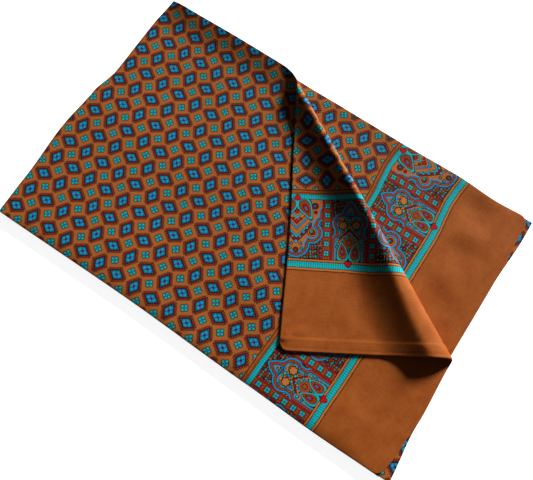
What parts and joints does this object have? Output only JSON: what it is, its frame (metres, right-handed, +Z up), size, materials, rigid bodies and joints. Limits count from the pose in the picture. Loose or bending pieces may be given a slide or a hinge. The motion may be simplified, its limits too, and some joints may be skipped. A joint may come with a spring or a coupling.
{
  "type": "folded neckerchief",
  "caption": "Oblong printed neckerchief folded crosswise in a flat pile of plies, with one corner of the top ply turned back to show the layer under it.",
  "frame": {"origin": "on the surface that the folded cloth lies on, at the middle of its outline", "axes": "+X along the cloth from its folds to its ends, +Y across it, +Z up"},
  "size_m": [0.4077, 0.2582, 0.0172],
  "materials": {
    "printed_cloth": "fine plain weave with a soft sheen, printed all over: caramel ground, blue and red-brown diamonds, a turquoise-edged paisley border and a plain end"
  },
  "bodies": {
    "root": {"hidden_layers": "printed_cloth", "second_ply": "printed_cloth", "top_ply": "printed_cloth", "turned_corner": "printed_cloth"}
  },
  "joints": []
}
